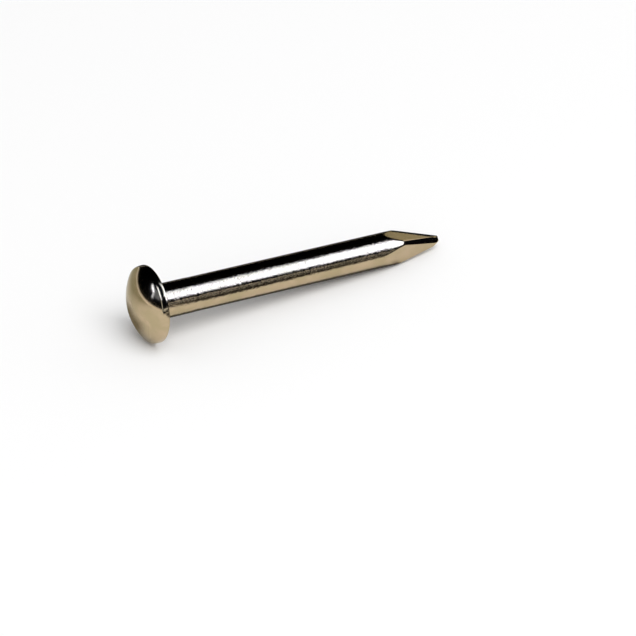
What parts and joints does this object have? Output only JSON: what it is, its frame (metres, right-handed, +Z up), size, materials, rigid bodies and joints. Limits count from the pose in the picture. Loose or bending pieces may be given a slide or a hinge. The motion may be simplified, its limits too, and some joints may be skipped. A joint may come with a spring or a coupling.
{
  "type": "linoleum nail",
  "caption": "Linoleum nail of plated steel wire with a low domed head, a plain round shank and a diamond point, lying at rest.",
  "frame": {"origin": "middle of the underside of the nail's box, on the floor that it lies on", "axes": "+X along the nail from head to tip, level; +Z up. The nail's own axis dips 4.91 degrees from +X, because it rests on the rim of its head and on the end of its shank"},
  "size_m": [0.0202, 0.0046, 0.0046],
  "materials": {
    "nickel_plate": "bright plated, faintly warm, with fine drawing marks along the shank"
  },
  "bodies": {
    "root": {"nail": "nickel_plate"}
  },
  "joints": []
}
